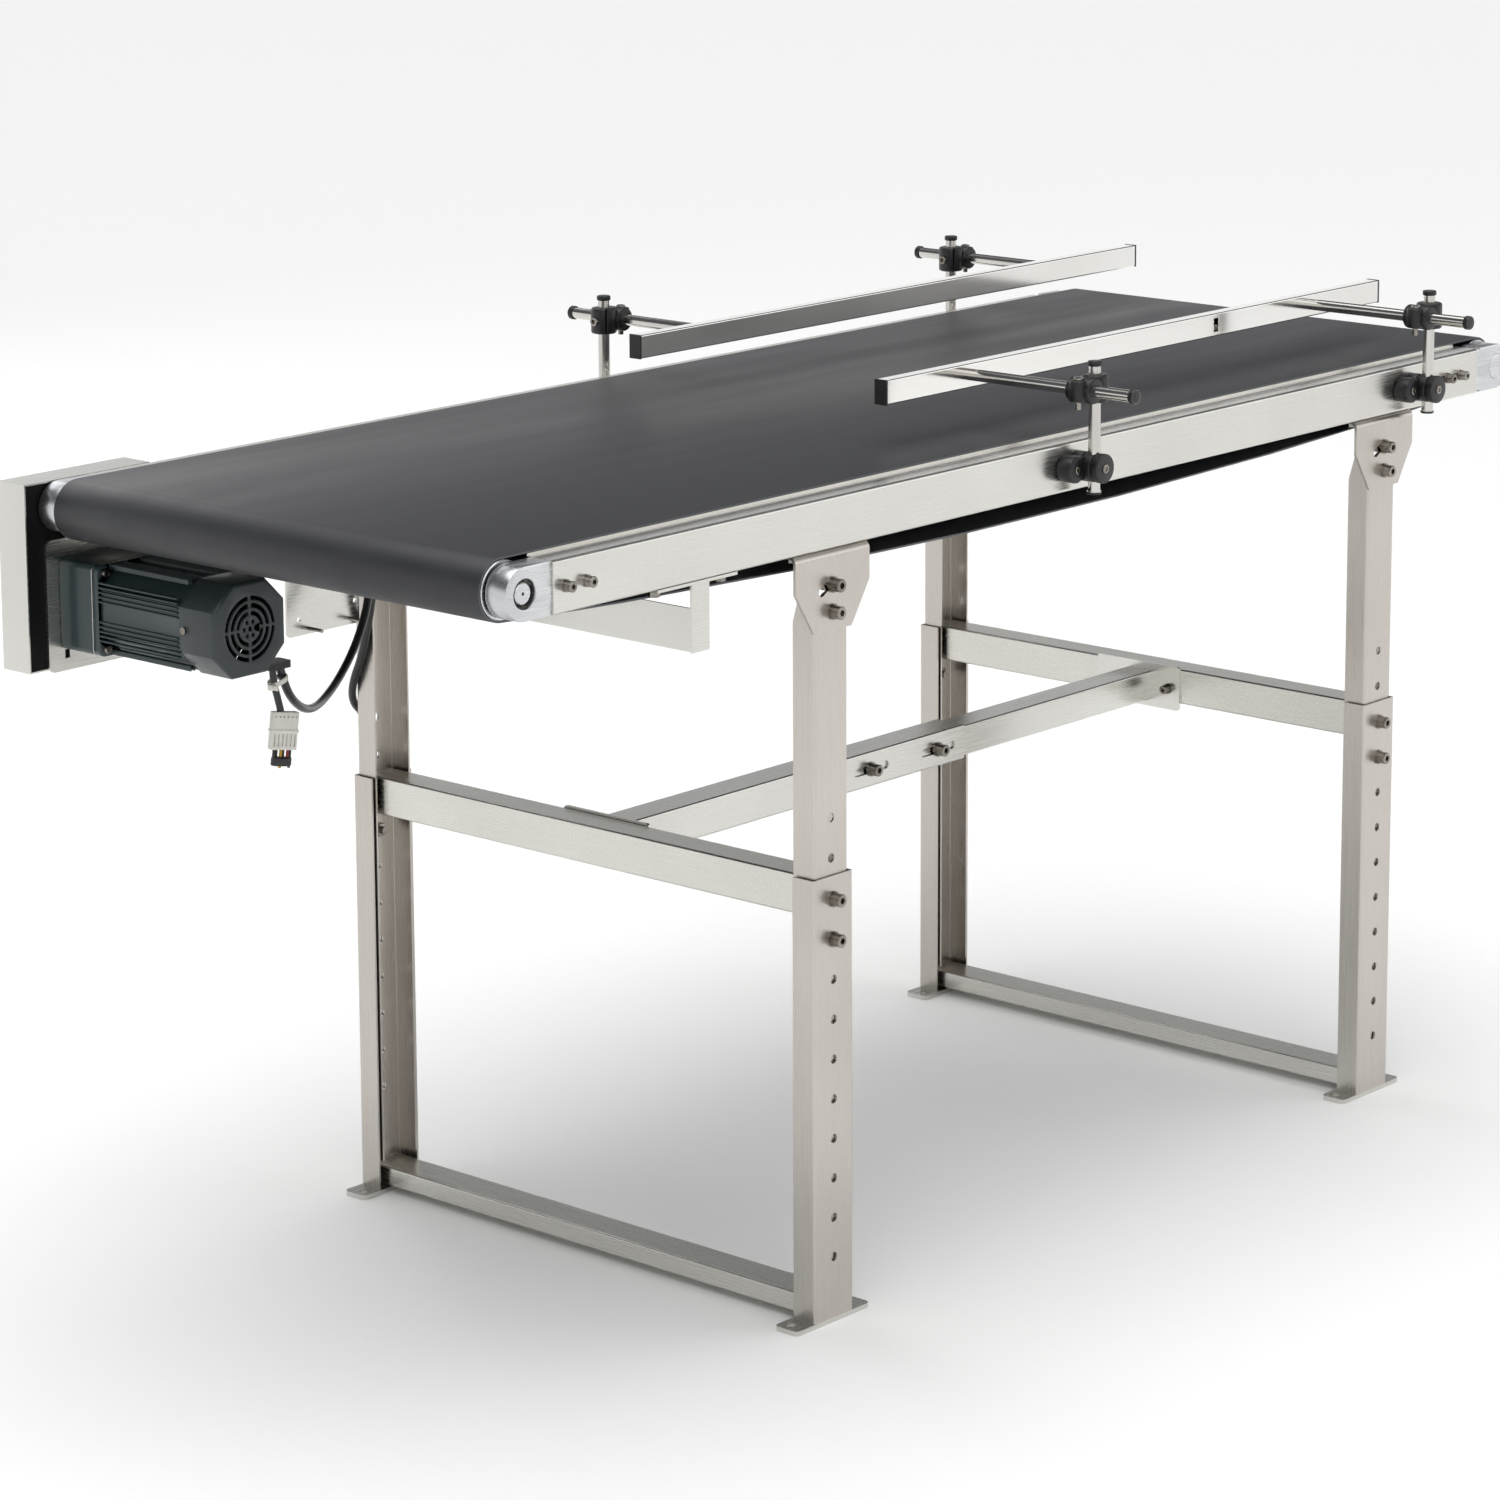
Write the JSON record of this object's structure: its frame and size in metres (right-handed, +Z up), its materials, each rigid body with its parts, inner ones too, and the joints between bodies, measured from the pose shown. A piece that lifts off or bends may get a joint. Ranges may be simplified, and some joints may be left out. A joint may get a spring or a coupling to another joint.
{
  "type": "belt conveyor section",
  "caption": "Slider-bed belt conveyor on a height-adjustable stand of nested channels, with side guard rails and a gearmotor under the drive end.",
  "frame": {"origin": "floor level, at the centre of the rectangle of the four outer floor-bolt holes", "axes": "+X along the belt from the drive end to the tail end, +Y across to the drive cover side, +Z up"},
  "size_m": [1.6377, 0.8, 0.903],
  "materials": {
    "brushed_stainless": "brushed",
    "polished_stainless": "polished",
    "machined_aluminium": "machined",
    "steel_fasteners": "plain",
    "belt_cover": "matte",
    "drive_rubber": "matte",
    "black_nylon": "satin",
    "motor_enamel": "satin",
    "black_paint": "satin",
    "cable_sheath": "satin",
    "white_nylon": "matte"
  },
  "bodies": {
    "stand": {"lower_leg_drive_far": "brushed_stainless", "lower_leg_drive_near": "brushed_stainless", "lower_leg_tail_far": "brushed_stainless", "lower_leg_tail_near": "brushed_stainless", "foot_plates": "brushed_stainless", "bottom_cross_tubes": "brushed_stainless", "mid_cross_tubes": "brushed_stainless", "stretcher_outer": "brushed_stainless", "stretcher_inner": "brushed_stainless", "stand_bolts": "steel_fasteners"},
    "drive_roller": {"drive_roller": "machined_aluminium", "roller_pulley": "machined_aluminium"},
    "motor_output": {"motor_pulley": "steel_fasteners"},
    "motor_fan": {"cooling_fan": "black_nylon"},
    "take_up": {"tail_block_near": "machined_aluminium", "tail_block_far": "machined_aluminium", "tail_bearings": "steel_fasteners", "take_up_screws": "steel_fasteners"},
    "tail_roller": {"tail_roller": "machined_aluminium"},
    "near_posts": {"near_posts": "polished_stainless", "near_cross_clamps": "black_nylon"},
    "far_posts": {"far_posts": "polished_stainless", "far_cross_clamps": "black_nylon"},
    "near_guard": {"near_guard_rail": "polished_stainless", "near_guard_arms": "polished_stainless", "near_guard_caps": "black_nylon"},
    "far_guard": {"far_guard_rail": "polished_stainless", "far_guard_arms": "polished_stainless", "far_guard_caps": "black_nylon"},
    "conveyor": {"bed_bolts": "steel_fasteners", "bed_cross_members": "brushed_stainless", "bracket_bolts": "steel_fasteners", "cable_fittings": "black_nylon", "control_plate": "brushed_stainless", "conveyor_belt": "belt_cover", "cover_back_plate": "black_paint", "cross_bracket": "brushed_stainless", "drive_bearings": "steel_fasteners", "drive_belt": "drive_rubber", "drive_block_screws": "steel_fasteners", "drive_blocks": "machined_aluminium", "drive_cover": "brushed_stainless", "fan_cover": "motor_enamel", "gearhead": "motor_enamel", "lead_connector": "white_nylon", "leg_brackets": "brushed_stainless", "motor_body": "motor_enamel", "motor_lead": "cable_sheath", "motor_plate": "brushed_stainless", "motor_screws": "steel_fasteners", "post_clamps": "black_nylon", "side_rail_far": "brushed_stainless", "side_rail_near": "brushed_stainless", "slider_bed": "brushed_stainless", "supply_cable": "cable_sheath", "supply_plug": "black_nylon", "upper_leg_drive_far": "brushed_stainless", "upper_leg_drive_near": "brushed_stainless", "upper_leg_tail_far": "brushed_stainless", "upper_leg_tail_near": "brushed_stainless"}
  },
  "joints": [
    {"name": "height_adjust", "type": "slide", "parent": "stand", "child": "conveyor", "axis": [0, 0, 1], "range_m": [0, 0.24]},
    {"name": "drive_roller_turn", "type": "hinge", "parent": "conveyor", "child": "drive_roller", "pos_m": [-0.88, 0, 0.795], "axis": [0, 1, 0], "continuous": true},
    {"name": "motor_output_turn", "type": "hinge", "parent": "conveyor", "child": "motor_output", "pos_m": [-0.838, 0, 0.716], "axis": [0, 1, 0], "continuous": true},
    {"name": "motor_fan_turn", "type": "hinge", "parent": "conveyor", "child": "motor_fan", "pos_m": [-0.838, 0, 0.698], "axis": [0, 1, 0], "continuous": true},
    {"name": "belt_take_up", "type": "slide", "parent": "conveyor", "child": "take_up", "axis": [1, 0, 0], "range_m": [-0.009, 0]},
    {"name": "tail_roller_turn", "type": "hinge", "parent": "take_up", "child": "tail_roller", "pos_m": [0.688, 0, 0.795], "axis": [0, 1, 0], "continuous": true},
    {"name": "near_post_height", "type": "slide", "parent": "conveyor", "child": "near_posts", "axis": [0, 0, 1], "range_m": [-0.033, 0.009]},
    {"name": "far_post_height", "type": "slide", "parent": "conveyor", "child": "far_posts", "axis": [0, 0, 1], "range_m": [-0.033, 0.009]},
    {"name": "near_guard_reach", "type": "slide", "parent": "near_posts", "child": "near_guard", "axis": [0, 1, 0], "range_m": [-0.1, 0.04]},
    {"name": "far_guard_reach", "type": "slide", "parent": "far_posts", "child": "far_guard", "axis": [0, -1, 0], "range_m": [-0.1, 0.04]}
  ],
  "couplings": [
    {"joint": "motor_output_turn", "follows": "drive_roller_turn", "ratio": 1},
    {"joint": "motor_fan_turn", "follows": "drive_roller_turn", "ratio": 25},
    {"joint": "tail_roller_turn", "follows": "drive_roller_turn", "ratio": 1}
  ]
}
